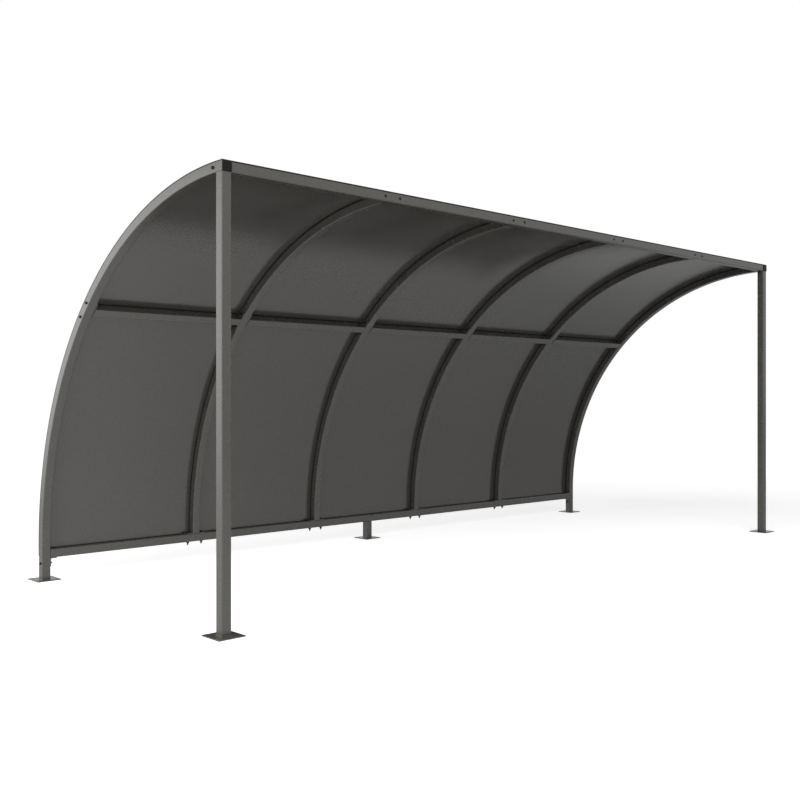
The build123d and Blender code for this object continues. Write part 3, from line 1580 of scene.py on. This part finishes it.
    def _sheet_screws(self) -> None:
        """Set the screws of the sheets in rows over the ribs, the purlins and the rail."""
        shelter = self.shelter
        spots: list[Spot] = []
        count = int(QUARTER_TURN * shelter.skin_radius / self.screw_pitch)
        angles = [(number + 0.5) * QUARTER_TURN / count for number in range(count)]
        last = len(shelter.rib_places) - 1
        for number, rib_x in enumerate(shelter.rib_places):
            offsets = (0.0,) if number in (0, last) else (-self.screw_edge, self.screw_edge)
            spots += [
                shelter.on_arch(rib_x + offset, shelter.skin_radius, angle)
                for offset in offsets
                for angle in angles
            ]
        lap_angle = self.screw_edge / shelter.skin_radius
        for bay_x in shelter.bay_places:
            for share in (-1, 0, 1):
                x = bay_x + share * self.screw_pitch
                for angle in (PURLIN_ANGLE - lap_angle, PURLIN_ANGLE + lap_angle):
                    spots.append(shelter.on_arch(x, shelter.skin_radius, angle))
                foot, outwards = shelter.on_arch(x, shelter.skin_radius, 0.0)
                foot.z = shelter.rail_top_z - self.screw_edge
                spots.append((foot, outwards))
        hand_over(self._set_out(self.shapes.sheet_screw(), spots), "sheet_screws", COATED_SHEET)


@dataclass(frozen=True)
class KeptNodes:
    """Plates and brackets whose solids already have the right shape: they only get dressed."""

    edge: float = 0.7 * MM

    def build(self) -> None:
        """Round the edges of the base plates and brackets and coat them."""
        for name, node in sorted(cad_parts.items()):
            if "base_plate" not in name and "bracket" not in name:
                continue
            weld = node.modifiers.new("joined_facets", "WELD")
            weld.merge_threshold = 0.01 * MM
            bevel = node.modifiers.new("dressed_edges", "BEVEL")
            bevel.width = self.edge
            bevel.segments = 2
            bevel.limit_method = "ANGLE"
            bevel.angle_limit = EDGE_ANGLE
            for slot in node.material_slots:
                slot.material = POWDER_COAT.material()
            LOG.info("%s: kept, %s", name, POWDER_COAT.name)


@dataclass(frozen=True)
class SoftLamp:
    """A large soft box that faces the shelter. One that isn't mirrored lights it without glare."""

    name: str
    place: tuple[float, float, float]
    width: float
    height: float
    radiance: float
    mirrored: bool = True
    aim: tuple[float, float, float] = (0.0, 0.0, 0.5)

    def build(self) -> None:
        """Make the lamp, put it in its place and turn it to the shelter."""
        lamp = bpy.data.lights.new(self.name, "AREA")
        lamp.shape = "RECTANGLE"
        lamp.size = self.width
        lamp.size_y = self.height
        lamp.energy = self.radiance * math.pi * self.width * self.height
        holder = bpy.data.objects.new(self.name, lamp)
        bpy.context.scene.collection.objects.link(holder)
        holder.location = self.place
        sight = Vector(self.aim) - Vector(self.place)
        holder.rotation_euler = sight.to_track_quat("-Z", "Y").to_euler()
        holder.visible_camera = False
        holder.visible_glossy = self.mirrored


@dataclass(frozen=True)
class Studio:
    """A white studio: floor, surroundings, soft lamps and the camera.

    The glow of floor and room is for the eye. It gives no light to the shelter, whose gloss
    shows the room, and dimmer still the floor.
    """

    floor_reach: float = 60.0
    floor_colour: str = "#e7e7e7"
    floor_glow: float = 0.75
    floor_gloss: float = 0.3
    shadow_reach: float = 4.0
    white_reach: float = 9.0
    room_gloss: float = 0.8
    camera_place: tuple[float, float, float] = (-4.9245, -4.658, 1.0565)
    camera_yaw: float = 43.243
    focal_pixels: float = 985.75
    horizon_row: float = 398.12
    sensor: float = 36.0
    lamps: tuple[SoftLamp, ...] = (
        SoftLamp("key_box", (-6.5, -6.5, 6.5), 12.0, 9.0, 3.1, mirrored=False),
        SoftLamp("left_top_box", (-8.0, 0.0, 6.0), 8.0, 6.0, 1.35, mirrored=False),
        SoftLamp("left_box", (-9.0, 0.8, 2.0), 5.0, 4.0, 1.4),
        SoftLamp("rear_left_box", (-5.5, 7.1, 2.0), 9.0, 4.0, 1.1),
    )

    def build(self) -> None:
        """Set up everything round the shelter."""
        self._camera()
        self._room()
        self._floor()
        for lamp in self.lamps:
            lamp.build()
        bpy.context.scene.view_settings.view_transform = "Standard"

    def _camera(self) -> None:
        """Set the camera where the photograph was taken from, level and turned to the right."""
        lens = bpy.data.cameras.new("photo_camera")
        lens.sensor_width = self.sensor
        lens.lens = self.sensor * self.focal_pixels / PHOTO_SIDE
        lens.shift_y = (self.horizon_row - PHOTO_SIDE / 2) / PHOTO_SIDE
        camera = bpy.data.objects.new("photo_camera", lens)
        bpy.context.scene.collection.objects.link(camera)
        camera.location = self.camera_place
        camera.rotation_euler = (QUARTER_TURN, 0.0, -math.radians(self.camera_yaw))
        bpy.context.scene.camera = camera

    def _room(self) -> None:
        """Make the surroundings white to the eye and a little dimmer in reflections."""
        world = bpy.data.worlds.new("white_studio")
        bpy.context.scene.world = world
        world.use_nodes = True
        tree = world.node_tree
        tree.nodes.clear()
        level = self._level(tree, self.room_gloss)
        background = add_node(
            tree,
            "ShaderNodeBackground",
            values={"Color": WHITE},
            links={"Strength": level.outputs[0]},
        ).outputs[0]
        add_node(tree, "ShaderNodeOutputWorld", links={"Surface": background})

    @staticmethod
    def _level(tree: bpy.types.NodeTree, gloss: float) -> bpy.types.Node:
        """Tell how bright the studio looks to each kind of ray.

        Args:
            tree: the node tree that asks.
            gloss: the level that glossy surfaces show.

        Returns:
            A node that gives white to the camera and through glass, the level to glossy
            surfaces, and nothing as light on the object. Its input 3 is the level for the camera.
        """
        path = add_node(tree, "ShaderNodeLightPath").outputs
        indirect = add_node(
            tree,
            "ShaderNodeMapRange",
            values={"To Max": gloss},
            links={"Value": path["Is Glossy Ray"]},
        ).outputs[0]
        direct = add_node(
            tree,
            "ShaderNodeMath",
            {"operation": "MAXIMUM"},
            links={0: path["Is Camera Ray"], 1: path["Is Transmission Ray"]},
        ).outputs[0]
        return add_node(
            tree, "ShaderNodeMix", {"data_type": "FLOAT"}, {3: 1.0}, {0: direct, 2: indirect}
        )

    def _floor_paint(self) -> bpy.types.Material:
        """Paint the floor pale, with a glow that rises to white away from the shelter.

        Returns:
            The material, whose matt paint keeps the shelter's shadow.
        """
        material = bpy.data.materials.new("white_floor")
        material.use_nodes = True
        tree = material.node_tree
        tree.nodes.clear()
        place = add_node(tree, "ShaderNodeTexCoord").outputs["Object"]
        distance = add_node(
            tree, "ShaderNodeVectorMath", {"operation": "LENGTH"}, links={0: place}
        ).outputs["Value"]
        fade = add_node(
            tree,
            "ShaderNodeMapRange",
            values={
                "From Min": self.shadow_reach,
                "From Max": self.white_reach,
                "To Min": self.floor_glow,
            },
            links={"Value": distance},
        ).outputs[0]
        level = self._level(tree, self.floor_gloss)
        tree.links.new(fade, level.inputs[3])
        paint = add_node(
            tree, "ShaderNodeBsdfDiffuse", values={"Color": linear_colour(self.floor_colour)}
        ).outputs[0]
        glow = add_node(
            tree,
            "ShaderNodeEmission",
            values={"Color": WHITE},
            links={"Strength": level.outputs[0]},
        ).outputs[0]
        surface = add_node(tree, "ShaderNodeAddShader", links={0: paint, 1: glow}).outputs[0]
        add_node(tree, "ShaderNodeOutputMaterial", links={"Surface": surface})
        return material

    def _floor(self) -> None:
        """Lay a pale floor that reads as the white background and keeps the shadow."""
        shape = bmesh.new()
        bmesh.ops.create_grid(shape, x_segments=1, y_segments=1, size=self.floor_reach)
        mesh = bpy.data.meshes.new("studio_floor")
        shape.to_mesh(mesh)
        shape.free()
        floor = bpy.data.objects.new("studio_floor", mesh)
        bpy.context.scene.collection.objects.link(floor)
        mesh.materials.append(self._floor_paint())


def main() -> None:
    """Build the shelter piece by piece, then the studio round it."""
    logging.basicConfig(level=logging.INFO, format="%(message)s")
    shelter = Shelter.from_frame()
    for side in Side:
        SideFrame(shelter, side).build()
    for number in range(1, len(shelter.rib_places) - 1):
        MiddleRib(shelter, number).build()
    for number in range(1, len(shelter.bay_places) + 1):
        Purlin(shelter, number).build()
        Cladding(shelter, number).build()
    LongTubes(shelter).build()
    SheetSeals(shelter).build()
    CreaseShadeBeads(shelter).build()
    Fasteners(shelter).build()
    KeptNodes().build()
    Studio().build()


if __name__ == "__main__":
    main()
